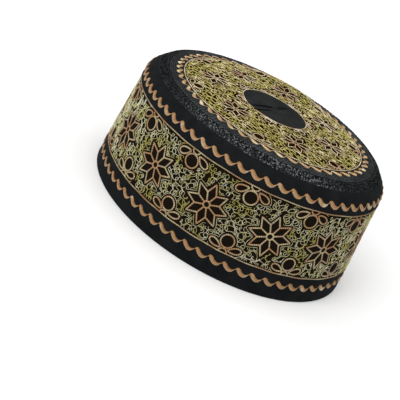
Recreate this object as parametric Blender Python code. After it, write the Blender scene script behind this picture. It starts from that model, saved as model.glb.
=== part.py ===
"""A round, stiff prayer cap of black cloth: a side panel that flares to its rim, a top band that turns
over into a round shoulder, a domed crown let into it, and a flat braid sewn round just outside the
crown's seam.

Metres, +Z up. The cap stands on its rim, with its front towards -Y and its origin under its middle.
Each piece is turned round the Z axis from a profile of (half length, height), and then narrowed in X,
because a head is longer than it is wide.
"""
import math

import bmesh
import bpy
import numpy as np

MM = 0.001

# Plan: the cap is a slightly long oval
NARROWING = 0.922            # width divided by length
SEGMENTS = 72                # faces round each turned piece

# Cloth
WALL = 2.4 * MM              # side and crown, several layers sewn together
SEAM_GAP = 0.35 * MM         # between two pieces that are sewn together, and under the braid
EDGE_ROUNDING = 0.6 * MM     # on the edges of the rim, and on the lower edge of the top band

# Side panel, as half lengths (towards the front) at heights above the rim
RIM_RADIUS = 96.2 * MM
SIDE_SECTIONS = (            # height, half length
    (9.0 * MM, 95.7 * MM),   # middle of the lower wave row
    (17.8 * MM, 95.1 * MM),  # lower edge of the embroidered panel
    (30.0 * MM, 94.1 * MM),
    (45.0 * MM, 93.0 * MM),
    (57.0 * MM, 92.1 * MM),
    (63.5 * MM, 91.6 * MM),  # seam with the top band
)

# Top band, from that seam over the shoulder to the seam of the crown
BAND_PROUD = 0.5 * MM        # its lower edge stands proud of the panel
SHOULDER_RADIUS = 91.6 * MM
SHOULDER_HEIGHT = 66.5 * MM
SEAM_RADIUS = 78.5 * MM
SEAM_HEIGHT = 80.0 * MM
SEAM_SLOPE = math.radians(22)   # fall of the surface outwards, where shoulder and crown meet
SHOULDER_PULL = 6.0 * MM        # how far the side runs on before the shoulder turns
CROWN_PULL = 7.0 * MM           # how far the top runs on before the shoulder turns

# Braid, along the shoulder from its outer edge (0 at the side, 1 at the seam)
BRAID_FROM = 0.66
BRAID_TO = 0.965
BRAID_THICKNESS = 0.9 * MM
BRAID_PROUD = 0.5 * MM       # above the cloth on both sides of it
BRAID_SEAT_FROM = 0.64       # the cloth is sunk for the braid from here to the seam
BRAID_SEAT_STEP = 0.04       # stretch of the shoulder over which it sinks
BRAID_EDGES = (0.45, 0.1, 0.0, 0.1, 0.45)   # shares of the thickness lost across the braid

# Crown
DOME_TOP = 83.2 * MM
DOME_POWER = 2.6             # how flat the dome stays before it falls to its seam
PINCH_DEPTH = 1.3 * MM       # dimple in the middle, where the cloth is drawn together
PINCH_RADIUS = 5.0 * MM
FOLD_DEPTH = 0.9 * MM        # deepest place of the valley that runs from the dimple towards -X
FOLD_REACH = 10.0 * MM       # from the middle to that deepest place
FOLD_WIDTH = 5.0 * MM
RIDGE_SHARE = 0.35           # height of the ridge towards +X, as a share of the valley's depth
ROLL_HEIGHT = 2.6 * MM       # soft roll of the cloth near the crown's edge, on the right of the back
ROLL_RADIUS = 66.0 * MM      # half length at which it is highest
ROLL_INNER = 16.0 * MM       # how far it spreads towards the middle
ROLL_OUTER = 5.5 * MM        # and towards the seam
ROLL_MIDDLE = math.radians(136)    # angle of its middle, from the front (-Y) towards +X
ROLL_SPREAD = math.radians(22)     # angle to each side over which it fades

# Looks of the plain solids
BLACK_CLOTH = ((0.016, 0.018, 0.020, 1.0), 0.85)
BLACK_BRAID = ((0.010, 0.011, 0.013, 1.0), 0.70)


def clear_scene():
    """Remove whatever the file holds."""
    for old in list(bpy.data.objects):
        bpy.data.objects.remove(old, do_unlink=True)


def cloth_material(name, look):
    """A Principled material of one colour and roughness."""
    colour, roughness = look
    material = bpy.data.materials.new(name)
    material.use_nodes = True
    shader = material.node_tree.nodes["Principled BSDF"]
    shader.inputs["Base Color"].default_value = colour
    shader.inputs["Roughness"].default_value = roughness
    shader.inputs["Metallic"].default_value = 0.0
    return material


def shoulder_curve(t):
    """Points and outward normals of the shoulder: a cubic Bezier curve from the side (t = 0), which it
    leaves upwards, to the crown's seam (t = 1), which it meets at the slope of the crown."""
    t = np.asarray(t, float)[:, None]
    side = np.array([SHOULDER_RADIUS, SHOULDER_HEIGHT])
    seam = np.array([SEAM_RADIUS, SEAM_HEIGHT])
    side_pull = side + SHOULDER_PULL * np.array([0.0, 1.0])
    seam_pull = seam + CROWN_PULL * np.array([math.cos(SEAM_SLOPE), -math.sin(SEAM_SLOPE)])
    points = (
        (1 - t) ** 3 * side
        + 3 * (1 - t) ** 2 * t * side_pull
        + 3 * (1 - t) * t ** 2 * seam_pull
        + t ** 3 * seam
    )
    along = (
        3 * (1 - t) ** 2 * (side_pull - side)
        + 6 * (1 - t) * t * (seam_pull - side_pull)
        + 3 * t ** 2 * (seam - seam_pull)
    )
    along /= np.linalg.norm(along, axis=1)[:, None]
    normals = np.stack([along[:, 1], -along[:, 0]], axis=1)
    return points, normals


def side_profile():
    """Closed profile of the side panel: from the flat rim up its outer face, and down its inner face."""
    outer = np.array(SIDE_SECTIONS)[:, ::-1]
    inner = outer[:0:-1] - np.array([WALL, 0.0])
    rim_outer = [(RIM_RADIUS - EDGE_ROUNDING, 0.0), (RIM_RADIUS, EDGE_ROUNDING)]
    rim_inner = [(RIM_RADIUS - WALL, EDGE_ROUNDING), (RIM_RADIUS - WALL + EDGE_ROUNDING, 0.0)]
    return np.vstack([rim_outer, outer, inner, rim_inner])


def band_profile():
    """Closed profile of the top band: up its outer face, over the shoulder, and back along its inner face.
    Under the braid the outer face is sunk, so that the braid stands only a little proud."""
    seam_height, seam_radius = SIDE_SECTIONS[-1]
    foot = seam_height + SEAM_GAP
    outer_edge = seam_radius + BAND_PROUD
    lower_edge = [(outer_edge - EDGE_ROUNDING, foot), (outer_edge, foot + EDGE_ROUNDING)]

    steps = np.array([0.0, 0.2, 0.4, BRAID_SEAT_FROM - BRAID_SEAT_STEP, BRAID_SEAT_FROM, 0.8, 0.9, 1.0])
    points, normals = shoulder_curve(steps)
    braid_seat = BRAID_THICKNESS + SEAM_GAP - BRAID_PROUD
    sunk = np.where(steps >= BRAID_SEAT_FROM, braid_seat, 0.0)[:, None]
    outer = points - normals * sunk

    points, normals = shoulder_curve(np.array([1.0, 0.7, 0.4, 0.0]))
    inner = points - normals * WALL
    inner[0, 0] = SEAM_RADIUS
    return np.vstack([lower_edge, outer, inner, [(seam_radius - WALL, foot)]])


def braid_profile():
    """Closed profile of the braid: a thin strip that follows the shoulder, with its long edges thinned."""
    thinning = np.array(BRAID_EDGES)[:, None] * BRAID_THICKNESS
    steps = np.linspace(BRAID_FROM, BRAID_TO, len(thinning))
    points, normals = shoulder_curve(steps)
    under = points + normals * (BRAID_PROUD - BRAID_THICKNESS)
    over = points + normals * (BRAID_PROUD - thinning)
    return np.vstack([over, under[::-1]])


def dome_height(radius):
    """Height of the crown's upper face at a half length: the top less a power of the radius, so that it
    meets the seam at the seam's height."""
    return DOME_TOP - (DOME_TOP - SEAM_HEIGHT) * (radius / SEAM_RADIUS) ** DOME_POWER


def crown_profile():
    """Profile of the crown: out over its upper face, and back to the middle along its lower face."""
    edge = SEAM_RADIUS - SEAM_GAP
    upper_radii = np.array([0.0, 3.0, 6.5, 11.0, 16.0, 22.0, 35.0, 50.0, 60.0, 66.0, 70.0, 74.0]) * MM
    upper_radii = np.append(upper_radii, edge)
    lower_radii = np.array([edge, 70.0 * MM, 60.0 * MM, 30.0 * MM, 6.5 * MM, 0.0])
    upper = np.stack([upper_radii, dome_height(upper_radii)], axis=1)
    lower = np.stack([lower_radii, dome_height(lower_radii) - WALL], axis=1)
    return np.vstack([upper, lower])


def pinch(x, y):
    """How far the cloth of the crown is drawn down at a place: a dimple in the middle, a valley that runs
    from it towards -X, and a lower ridge towards +X."""
    dimple = PINCH_DEPTH * np.exp(-(np.hypot(x, y) / PINCH_RADIUS) ** 2)
    reach = np.abs(x) / FOLD_REACH
    along = reach * np.exp((1 - reach ** 2) / 2)
    across = np.exp(-(y / FOLD_WIDTH) ** 2)
    side = np.where(x < 0, 1.0, -RIDGE_SHARE)
    return dimple + FOLD_DEPTH * along * across * side


def roll(x, y):
    """How far the cloth of the crown stands up at a place: a bell round the roll's half length, wider
    towards the middle than towards the seam, that fades out to both sides."""
    radius = np.hypot(x / NARROWING, y)
    across = (radius - ROLL_RADIUS) / np.where(radius < ROLL_RADIUS, ROLL_INNER, ROLL_OUTER)
    aside = (np.arctan2(x / NARROWING, -y) - ROLL_MIDDLE) / ROLL_SPREAD
    return ROLL_HEIGHT * np.exp(-across ** 2 - aside ** 4)


def crown_fall(x, y):
    """How far the crown's surface lies under its plain dome: its pinch, less its roll."""
    return pinch(x, y) - roll(x, y)


def turned(name, profile, material, closed=True, shape=None):
    """A piece turned round the Z axis from its profile, narrowed in X, with shape(x, y) as the depth by
    which the surface is drawn down afterwards."""
    mesh = bpy.data.meshes.new(name)
    piece = bmesh.new()
    corners = [piece.verts.new((0.0, -radius, height)) for radius, height in profile]
    edges = [piece.edges.new(pair) for pair in zip(corners, corners[1:])]
    if closed:
        edges.append(piece.edges.new((corners[-1], corners[0])))
    bmesh.ops.spin(
        piece,
        geom=corners + edges,
        cent=(0.0, 0.0, 0.0),
        axis=(0.0, 0.0, 1.0),
        angle=math.tau,
        steps=SEGMENTS,
        use_merge=True,
    )
    bmesh.ops.remove_doubles(piece, verts=piece.verts, dist=0.01 * MM)
    bmesh.ops.scale(piece, vec=(NARROWING, 1.0, 1.0), verts=piece.verts)
    if shape is not None:
        for corner in piece.verts:
            corner.co.z -= shape(corner.co.x, corner.co.y)
    bmesh.ops.recalc_face_normals(piece, faces=piece.faces)
    piece.to_mesh(mesh)
    piece.free()
    mesh.shade_smooth()
    mesh.set_sharp_from_angle(angle=math.radians(40))
    mesh.materials.append(material)
    body = bpy.data.objects.new(name, mesh)
    bpy.context.scene.collection.objects.link(body)
    return body


def build():
    """Make the four pieces of the cap."""
    clear_scene()
    cloth = cloth_material("black_cloth", BLACK_CLOTH)
    braid = cloth_material("black_braid", BLACK_BRAID)
    turned("side_panel", side_profile(), cloth)
    turned("top_band", band_profile(), cloth)
    turned("crown_top", crown_profile(), cloth, closed=False, shape=crown_fall)
    turned("edge_braid", braid_profile(), braid)


build()
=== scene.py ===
# %% [markdown]
# # A prayer cap in black cloth and gold thread
# The cap is a stiff pillbox of black cotton: a side panel full of stars and wandering thread, a black band
# that turns over into a round shoulder, a braid, and a crown with the same embroidery round a bare middle.
# The solids of the cap come in as a fixed frame. Everything here is fine cloth and thread laid on that
# frame, and the frame's box is kept, for the proportions of the oval.

# %% Load the frame
import functools
import math
import bmesh
import bpy
import numpy as np
from mathutils import Matrix, Vector


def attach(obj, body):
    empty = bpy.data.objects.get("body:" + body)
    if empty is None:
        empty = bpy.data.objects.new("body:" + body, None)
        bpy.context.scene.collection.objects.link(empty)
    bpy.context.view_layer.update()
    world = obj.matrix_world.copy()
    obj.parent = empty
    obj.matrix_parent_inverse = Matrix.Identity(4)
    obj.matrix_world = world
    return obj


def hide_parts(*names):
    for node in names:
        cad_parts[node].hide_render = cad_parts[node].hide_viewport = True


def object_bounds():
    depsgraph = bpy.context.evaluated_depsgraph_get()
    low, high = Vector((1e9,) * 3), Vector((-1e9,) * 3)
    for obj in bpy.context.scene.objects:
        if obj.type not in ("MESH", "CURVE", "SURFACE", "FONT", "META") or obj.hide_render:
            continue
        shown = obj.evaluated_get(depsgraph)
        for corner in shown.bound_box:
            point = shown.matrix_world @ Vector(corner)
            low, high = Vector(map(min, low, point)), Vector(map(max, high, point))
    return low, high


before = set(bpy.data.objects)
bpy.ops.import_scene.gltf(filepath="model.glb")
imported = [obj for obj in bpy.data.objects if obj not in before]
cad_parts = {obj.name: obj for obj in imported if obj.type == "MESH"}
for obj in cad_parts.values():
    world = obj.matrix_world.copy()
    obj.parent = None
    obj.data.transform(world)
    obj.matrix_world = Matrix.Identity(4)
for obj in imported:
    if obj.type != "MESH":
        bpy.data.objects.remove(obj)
cad_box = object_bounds()
MM = 0.001
print("frame:", sorted(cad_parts), [round(x, 4) for x in cad_box[1] - cad_box[0]])

# %% [markdown]
# ## The camera
# The picture was taken from a little above the cap, with a long lens, and the cap leans to the right in it.
# Here the cap stands flat, as it would by itself, so the camera is what leans: it is turned about its own
# line of sight. Azimuth, pitch and roll say this more plainly than nine numbers of a matrix would.

# %% The camera
TARGET = Vector((-10.98, 10.69, 1.16)) * MM
DISTANCE = 0.748
AZIMUTH = math.radians(-41.74)
PITCH = math.radians(23.32)
ROLL = math.radians(27.87)
LENS = 99.0


def new_object(name, data):
    """An object with that data, put into the scene."""
    made = bpy.data.objects.new(name, data)
    bpy.context.scene.collection.objects.link(made)
    return made


camera = new_object("camera", bpy.data.cameras.new("camera"))
camera.data.lens = LENS
# Round the target from -Y, up by the pitch, back by the distance, and a turn about the line of sight.
turn = Matrix.Rotation(AZIMUTH, 4, "Z") @ Matrix.Rotation(math.pi / 2 - PITCH, 4, "X")
back, lean = Matrix.Translation((0.0, 0.0, DISTANCE)), Matrix.Rotation(ROLL, 4, "Z")
camera.matrix_world = Matrix.Translation(TARGET) @ turn @ back @ lean
bpy.context.scene.camera = camera
print("camera stands at", [round(x * 1000) for x in camera.matrix_world.translation], "mm")

# %% [markdown]
# ## Floor and light
# A white floor that runs out of the picture, a white sky and a wide soft ceiling give the even, almost
# shadowless light of a catalogue picture. One soft lamp from the left adds the highlights by which thread and
# satin show their relief. The standard view keeps white white, where a filmic one would grey it.

# %% Floor and light
FLOOR_HALF = 6.0
FLOOR_WHITE = (0.93, 0.93, 0.93, 1.0)
FLOOR_ROUGH, FLOOR_GLOSS = 0.9, 0.1
SKY_WHITE = (1.0, 1.0, 1.0, 1.0)
SKY_STRENGTH = 0.55
LAMPS = {                   # place, aim, size in metres, power in watts
    "ceiling": ((0.0, 0.3, 2.5), (0.0, 0.3, 0.0), 5.0, 80.0),
    "key": ((-1.0, -0.25, 0.75), (0.0, 0.0, 0.05), 0.6, 5.0),
}


def plain_material(name, colour, roughness, gloss):
    """A Principled material with one colour, roughness and gloss."""
    material = bpy.data.materials.new(name)
    material.use_nodes = True
    shader = material.node_tree.nodes["Principled BSDF"]
    shader.inputs["Base Color"].default_value = colour
    shader.inputs["Roughness"].default_value = roughness
    shader.inputs["Specular IOR Level"].default_value = gloss
    return material


floor_mesh = bpy.data.meshes.new("floor")
floor_corners = FLOOR_HALF * np.array([(-1, -1, 0), (1, -1, 0), (1, 1, 0), (-1, 1, 0)])
floor_mesh.from_pydata(floor_corners, [], [(0, 1, 2, 3)])
floor_mesh.materials.append(plain_material("white_floor", FLOOR_WHITE, FLOOR_ROUGH, FLOOR_GLOSS))
floor = new_object("floor", floor_mesh)

for name, (place, aim, size, power) in LAMPS.items():
    lamp = new_object(name, bpy.data.lights.new(name, "AREA"))
    lamp.data.size = size
    lamp.data.energy = power
    lamp.location = place
    lamp.rotation_euler = (Vector(aim) - Vector(place)).to_track_quat("-Z", "Y").to_euler()

world = bpy.data.worlds.new("sky")
world.use_nodes = True
world.node_tree.nodes["Background"].inputs["Color"].default_value = SKY_WHITE
world.node_tree.nodes["Background"].inputs["Strength"].default_value = SKY_STRENGTH
bpy.context.scene.world = world
bpy.context.scene.view_settings.view_transform = "Standard"
print("lamps:", sorted(LAMPS))

# %% [markdown]
# ## Going round an oval
# A head is longer than it is wide, so the cap is an oval. A sewer counts stitches along the cloth, not in
# degrees, so places round the cap are given as a share of its girth. The table below gives the angle for
# each share: it adds up short chords of the oval. Every oval on this cap has the same proportions, so one
# table serves for all of them.

# %% Going round the oval
NARROWING = float((cad_box[1].x - cad_box[0].x) / (cad_box[1].y - cad_box[0].y))
TABLE_STEPS = 3600


def run_along(line):
    """Length along a line up to each of its points: its chords, added up."""
    return np.append(0.0, np.cumsum(np.linalg.norm(np.diff(line, axis=0), axis=1)))


table_angle = np.linspace(0.0, math.tau, TABLE_STEPS + 1)
table_run = run_along(np.stack([NARROWING * np.sin(table_angle), -np.cos(table_angle)], axis=1))
GIRTH = table_run[-1]


def angle_at(share):
    """Angle from the front (-Y) towards +X at a share of the girth: the table, read backwards."""
    return np.interp(np.mod(share, 1.0) * GIRTH, table_run, table_angle)


def share_at(degrees):
    """Share of the girth at an angle in degrees from the front."""
    return np.interp(np.mod(np.radians(degrees), math.tau), table_angle, table_run) / GIRTH


print("narrowing", round(NARROWING, 4), "girth per unit of half length", round(GIRTH, 4))

# %% [markdown]
# ## The outer line of the cap
# The side flares a little to the rim, the shoulder is a soft quarter turn, and the crown is a shallow dome.
# One fine line holds side and shoulder, as half length and height. It is measured along itself, as a tape
# laid on the cloth would be, so that a row of stitches keeps its width where the cloth turns over.

# %% The outer line
RIM_HALF_LENGTH = 96.2
SIDE = np.array([           # height, half length
    (0.0, RIM_HALF_LENGTH), (9.0, 95.7), (17.8, 95.1), (30.0, 94.1), (45.0, 93.0), (57.0, 92.1), (63.5, 91.6),
])
SIDE_STEP = 0.5
WALL = 2.4
SHOULDER = np.array([(91.6, 66.5), (91.6, 72.5), (84.99, 77.38), (78.5, 80.0)])
SHOULDER_STEPS = 60
TINY = 1e-9

side_heights = np.arange(0.0, SIDE[-1, 0] + SIDE_STEP / 2, SIDE_STEP)
side_line = np.stack([np.interp(side_heights, SIDE[:, 0], SIDE[:, 1]), side_heights], axis=1)
# The shoulder is a cubic Bezier curve: its four corners, each weighted by a cubic of t.
t = np.linspace(0.0, 1.0, SHOULDER_STEPS)[:, None]
weights = np.hstack([(1 - t) ** 3, 3 * t * (1 - t) ** 2, 3 * t ** 2 * (1 - t), t ** 3])
outer_line = np.vstack([side_line, weights @ SHOULDER])
outer_run = run_along(outer_line)
outer_slope = np.gradient(outer_line, outer_run, axis=0)
SEAM_RUN = outer_run[-1]


def run_at_height(height):
    """Length along the outer line from the rim up to a height."""
    return np.interp(height, outer_line[:, 1], outer_run)


def outer_at(run):
    """Half length and height of the outer line at a run along it, and how much each grows for a mm."""
    return [np.interp(run, outer_run, column) for column in (*outer_line.T, *outer_slope.T)]


def unit(vectors):
    """The same vectors, one long."""
    return vectors / np.maximum(np.linalg.norm(vectors, axis=-1, keepdims=True), TINY)


def on_side(share, run, lift=0.0):
    """Places and outward normals on the side and shoulder. The place is the outer line's at that run,
    turned to the share of the girth and narrowed in X, and then moved along the normal by the lift. The
    normal is the cross product of the ways round and up."""
    share, run = np.broadcast_arrays(share, run)
    radius, height, out, up = outer_at(run)
    angle = angle_at(share)
    sine, cosine = np.sin(angle), np.cos(angle)
    place = np.stack([NARROWING * radius * sine, -radius * cosine, height], axis=-1)
    normal = unit(np.stack([up * sine, -NARROWING * up * cosine, -NARROWING * out], axis=-1))
    return place + normal * np.asarray(lift)[..., None], normal


print("side and shoulder:", round(SEAM_RUN, 1), "mm from rim to crown seam")

# %% [markdown]
# ## The crown
# The crown is a dome that stays flat and then falls to its seam. In the middle the cloth is drawn together:
# a dimple, a valley to one side, a low ridge to the other, and a few fine creases that fan out from the
# dimple. On the right of the back the soft cloth stands up in a low roll, which hides the edging behind it
# in the picture. All of these only change the height, so the crown is a height over its plan.

# %% The crown's height
SEAM_RADIUS = 78.5
SEAM_HEIGHT = 80.0
DOME_TOP = 83.2
DOME_POWER = 2.6
PINCH_DEPTH = 1.3
PINCH_RADIUS = 5.0
FOLD_DEPTH = 0.9
FOLD_REACH = 10.0
FOLD_WIDTH = 5.0
RIDGE_SHARE = 0.35
ROLL_HEIGHT = 2.6
ROLL_RADIUS = 66.0
ROLL_INNER = 16.0
ROLL_OUTER = 5.5
ROLL_MIDDLE = math.radians(136.0)
ROLL_SPREAD = math.radians(22.0)
CREASES = np.array([        # start x and y, direction in degrees from +X, depth, width, length
    (3.3, 4.4, 188.5, 1.50, 0.50, 36.0),
    (-0.5, 0.5, 199.0, 1.70, 0.60, 38.0),
    (0.6, 1.4, 16.5, 0.62, 2.20, 24.0),
    (0.5, 0.5, 262.0, 0.30, 0.60, 9.0),
    (0.5, 0.5, 95.0, 0.25, 0.60, 8.0),
])
SLOPE_STEP = 0.05


def creases(x, y):
    """Depth of the fine creases: each is a groove with a sharp bottom along a ray from its start, deepest
    at a third of its length, where the cubic of the swell is 1, and gone at its end."""
    angle = np.radians(CREASES[:, 2])
    x, y = x[..., None] - CREASES[:, 0], y[..., None] - CREASES[:, 1]
    along = x * np.cos(angle) + y * np.sin(angle)
    across = y * np.cos(angle) - x * np.sin(angle)
    share = np.clip(along / CREASES[:, 5], 0.0, 1.0)
    swell = 6.75 * share * (1 - share) ** 2
    return np.sum(CREASES[:, 3] * swell * np.exp(-np.abs(across) / CREASES[:, 4]), axis=-1)


def roll(x, y):
    """Height of the roll: a bell round its half length, wider inwards than outwards, that fades out to both
    sides."""
    radius = np.hypot(x / NARROWING, y)
    across = (radius - ROLL_RADIUS) / np.where(radius < ROLL_RADIUS, ROLL_INNER, ROLL_OUTER)
    aside = (np.arctan2(x / NARROWING, -y) - ROLL_MIDDLE) / ROLL_SPREAD
    return ROLL_HEIGHT * np.exp(-across ** 2 - aside ** 4)


def crown_height(x, y):
    """Height of the crown's upper face: a dome that falls with a power of the distance out, and the roll,
    less a bell for the dimple, the valley to the left with its ridge to the right, and the creases. Valley
    and ridge grow up to their reach, fade past it, and are a bell across."""
    radius = np.hypot(x / NARROWING, y)
    dome = DOME_TOP - (DOME_TOP - SEAM_HEIGHT) * (radius / SEAM_RADIUS) ** DOME_POWER
    dimple = PINCH_DEPTH * np.exp(-(np.hypot(x, y) / PINCH_RADIUS) ** 2)
    reach = np.abs(x) / FOLD_REACH
    fold = reach * np.exp((1 - reach ** 2) / 2) * np.exp(-(y / FOLD_WIDTH) ** 2)
    fold *= np.where(x < 0, 1.0, -RIDGE_SHARE)
    return dome + roll(x, y) - dimple - FOLD_DEPTH * fold - creases(x, y)


def on_crown(x, y, lift=0.0):
    """Places and upward normals on the crown over a plan position: the normal comes from how much the
    height changes over a tenth of a millimetre."""
    x, y = np.broadcast_arrays(np.asarray(x, float), np.asarray(y, float))
    step = SLOPE_STEP
    slope_x = (crown_height(x + step, y) - crown_height(x - step, y)) / (2 * step)
    slope_y = (crown_height(x, y + step) - crown_height(x, y - step)) / (2 * step)
    place = np.stack([x, y, crown_height(x, y)], axis=-1)
    normal = unit(np.stack([-slope_x, -slope_y, np.ones_like(x)], axis=-1))
    return place + normal * np.asarray(lift)[..., None], normal


def crown_ring(share, radius):
    """Plan position on the oval of that half length, at a share of the girth."""
    angle = angle_at(share)
    return NARROWING * radius * np.sin(angle), -radius * np.cos(angle)


print("crown rises", round(DOME_TOP - SEAM_HEIGHT, 1), "mm over its seam")

# %% [markdown]
# ## From arrays to a piece
# Every piece is made the same way: an array of places in millimetres, an array of four-cornered faces, and
# a map that says how far along and across the thread or cloth each place is. Materials read that map, so
# that stitches and weave follow the surface. Places that coincide are merged, which closes seams and poles.

# %% Making a piece
SAME_PLACE = 1e-7
triangles_in = {}
finishes = {}


def grid_faces(shape):
    """Faces between neighbours in a grid of places, or in each of a stack of grids, counted in order."""
    corner = np.arange(math.prod(shape)).reshape(shape)
    near, far = corner[..., :-1, :], corner[..., 1:, :]
    return np.stack([near[..., :-1], far[..., :-1], far[..., 1:], near[..., 1:]], axis=-1)


def make_piece(name, patches, finish, nodes=()):
    """One object from several patches, each (places, faces, map), with the finish of that name. Unused
    places are dropped, the whole is turned into metres, and coinciding places are merged."""
    places, faces, maps, first = [], [], [], 0
    for place, face, uv in patches:
        places.append(place.reshape(-1, 3))
        maps.append(uv.reshape(-1, 2))
        faces.append(face.reshape(-1, 4) + first)
        first += len(places[-1])
    places, maps, faces = np.vstack(places), np.vstack(maps), np.vstack(faces)
    used, corner = np.unique(faces, return_inverse=True)
    corner = corner.reshape(faces.shape)

    mesh = bpy.data.meshes.new(name)
    mesh.from_pydata(places[used] * MM, [], corner)
    layer = mesh.uv_layers.new(name="thread")
    layer.data.foreach_set("uv", maps[used][corner].astype(np.float32).ravel())
    whole = bmesh.new()
    whole.from_mesh(mesh)
    bmesh.ops.remove_doubles(whole, verts=whole.verts, dist=SAME_PLACE)
    whole.to_mesh(mesh)
    whole.free()
    mesh.shade_smooth()
    mesh.materials.append(finishes[finish])
    piece = new_object(name, mesh)
    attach(piece, "root")
    if nodes:
        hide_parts(*nodes)
    triangles_in[name] = sum(len(p.vertices) - 2 for p in mesh.polygons)
    print(f"{name}: {triangles_in[name]} triangles")
    return piece


# %% [markdown]
# ## Carrying a thread along a path
# A thread on cloth is a low arch: round on top and flat where it lies. So an arch is carried along each
# path, standing on the cloth's normal, and its feet are sunk a little so that no light gets under it. A
# path can be cut by a mask, for instance where the thread would run over a star.

# %% Carrying a thread
ARCH = np.array([(-1.0, 0.0), (-0.75, 0.68), (0.0, 1.0), (0.75, 0.68), (1.0, 0.0)])
LOW_ARCH = np.array([(-1.0, 0.0), (0.0, 1.0), (1.0, 0.0)])
FOOT = 0.12


def closed(paths):
    """The same paths with their first point repeated at the end."""
    return np.concatenate([paths, paths[..., :1, :]], axis=-2)


def carry(places, normals, width, height, arch=ARCH, loop=False, keep=None):
    """A patch: the arch carried along paths on the cloth. Each point of the arch lies sideways by its first
    number times half the width, and up the normal by its second times the height. places and normals
    have the shape (paths, points, 3), and keep says which points of a path have thread."""
    places = places.reshape(-1, *places.shape[-2:])
    normals = normals.reshape(places.shape)
    width = np.broadcast_to(width, places.shape[:2])[..., None]
    height = np.broadcast_to(height, places.shape[:2])[..., None]
    if loop:
        run = np.roll(places, -1, axis=1) - np.roll(places, 1, axis=1)
        places, normals, run, width, height = map(closed, (places, normals, run, width, height))
    else:
        run = np.gradient(places, axis=1)
    side = unit(np.cross(normals, unit(run)))
    sideways = side[..., None, :] * (arch[:, :1] * width[..., None] / 2)
    upwards = normals[..., None, :] * (arch[:, 1:] * height[..., None] - FOOT)
    section = places[..., None, :] + sideways + upwards

    length = np.linalg.norm(np.diff(places, axis=1, prepend=places[:, :1]), axis=-1).cumsum(axis=1)
    uv = np.stack(np.broadcast_arrays(length[..., None], np.linspace(0.0, 1.0, len(arch))), axis=-1)
    faces = grid_faces(section.shape[:3])
    if keep is not None:
        keep = keep.reshape(len(places), -1)
        if loop:
            keep = np.concatenate([keep, keep[:, :1]], axis=1)
        faces = faces[keep[:, :-1] & keep[:, 1:]]
    return section, faces, uv


print("an arch has", len(ARCH), "points across, a low one", len(LOW_ARCH))

# %% [markdown]
# ## Finishes
# Three kinds of finish cover the cap. The cloth is a close black weave that drinks light, so it has almost no
# gloss. Embroidery thread is silky and changes colour in patches, as a dyed reel does, and its stitches show
# as fine ridges across or along it, with painted shade between. The braid is black thread with painted
# glints.

# %% Shader helpers
def add(tree, kind, sockets, **settings):
    """A shader node of that kind. sockets holds, for each input, a value or another node's output."""
    made = tree.nodes.new("ShaderNode" + kind)
    for key, value in settings.items():
        setattr(made, key, value)
    for key, value in sockets.items():
        if isinstance(value, bpy.types.NodeSocket):
            tree.links.new(value, made.inputs[key])
        else:
            made.inputs[key].default_value = value
    return made


def maths(tree, operation, first, second=0.0):
    """Output of a Math node on two numbers."""
    return add(tree, "Math", {0: first, 1: second}, operation=operation).outputs[0]


def mixed(tree, share, first, second):
    """Output of a colour mix: the first colour at share 0, the second at share 1."""
    return add(tree, "Mix", {0: share, 6: first, 7: second}, data_type="RGBA").outputs[2]


def ranged(tree, value, low, high, first=0.0, last=1.0):
    """A number that goes from first to last while the value goes from low to high, and stays there."""
    return add(tree, "MapRange", {0: value, 1: low, 2: high, 3: first, 4: last}).outputs[0]


def place_on(tree):
    """The place on the object, in metres."""
    return add(tree, "TexCoord", {}).outputs["Object"]


def patches_of(tree, size, low, high, detail=2.0):
    """A share from 0 to 1 that changes in patches of that size (in mm), sharper as low and high close in."""
    noise = add(tree, "TexNoise", {"Vector": place_on(tree), "Scale": 1 / (size * MM), "Detail": detail})
    return ranged(tree, noise.outputs["Fac"], low, high)


def along_and_across(tree):
    """The piece's own map: length along in mm, and share across."""
    place = add(tree, "UVMap", {}, uv_map="thread").outputs["UV"]
    split = add(tree, "SeparateXYZ", {0: place})
    return split.outputs[0], split.outputs[1]


def ripple(tree, value, pitch, shift=0.0):
    """A wave from -1 to 1 that repeats each pitch of the value."""
    turned = maths(tree, "MULTIPLY", value, math.tau / pitch)
    return maths(tree, "SINE", maths(tree, "ADD", turned, shift))


def dressed(material, tone, relief, strength, depth):
    """The material with that tone, and with that relief as its bump, of a depth in mm."""
    tree = material.node_tree
    shader = tree.nodes["Principled BSDF"]
    bump = add(tree, "Bump", {"Height": relief, "Strength": strength, "Distance": depth * MM})
    tree.links.new(tone, shader.inputs["Base Color"])
    tree.links.new(bump.outputs[0], shader.inputs["Normal"])
    return material


# %% [markdown]
# Black cloth: two waves, one for each way of the weave, make the bump. A slow change of tone keeps the large
# plain areas from looking like painted plastic. Where the cloth is embroidered, gold light falls back into
# the gaps, and that light is painted in: the black is warmer there, most of all on the crown. The crown's
# black is painted lighter too, for the sheen and light on its upward face, and the bottoms of its creases get
# painted shade. The braid's thread has painted glints in small spots.

# %% Black cloth and braid
# Painted gold light: the black in the gaps of the embroidery is warmer, most of all on the crown.
WARM = (0.0062, 0.0039, 0.0021, 1.0)
CROWN_WARM = (0.0130, 0.0060, 0.0012, 1.0)
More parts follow.
